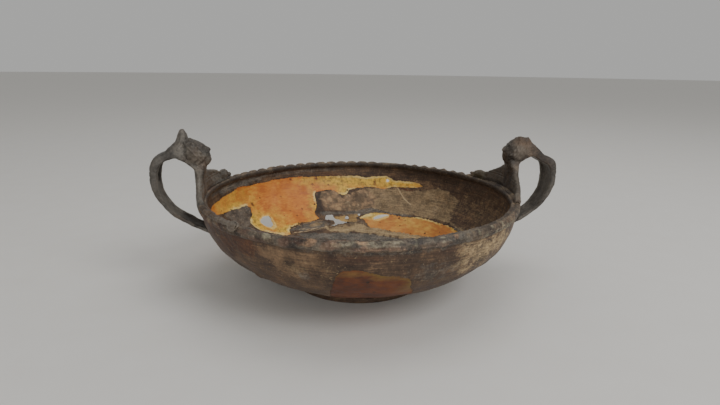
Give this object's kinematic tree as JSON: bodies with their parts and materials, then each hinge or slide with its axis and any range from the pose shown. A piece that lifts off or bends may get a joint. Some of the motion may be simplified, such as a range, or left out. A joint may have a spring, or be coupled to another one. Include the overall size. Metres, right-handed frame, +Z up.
{
  "type": "two-handled bronze basin",
  "caption": "Shallow footed bronze basin with a beaded rim and upright loop handles, torn in places and repaired with resin fills.",
  "frame": {"origin": "centre of the foot ring's underside, on the bowl's axis", "axes": "+X towards the right handle, -Y towards the front, +Z up"},
  "size_m": [0.3794, 0.2996, 0.148],
  "materials": {
    "bronze": "dull brown patina with pale dust and corrosion crusts",
    "ochre_resin": "matt ochre fill with small dark pits",
    "brown_resin": "matt reddish brown fill"
  },
  "bodies": {
    "root": {"bowl": "bronze", "left_handle": "bronze", "right_handle": "bronze", "back_fill": "ochre_resin", "lower_fill": "ochre_resin", "front_fill": "brown_resin"}
  },
  "joints": []
}
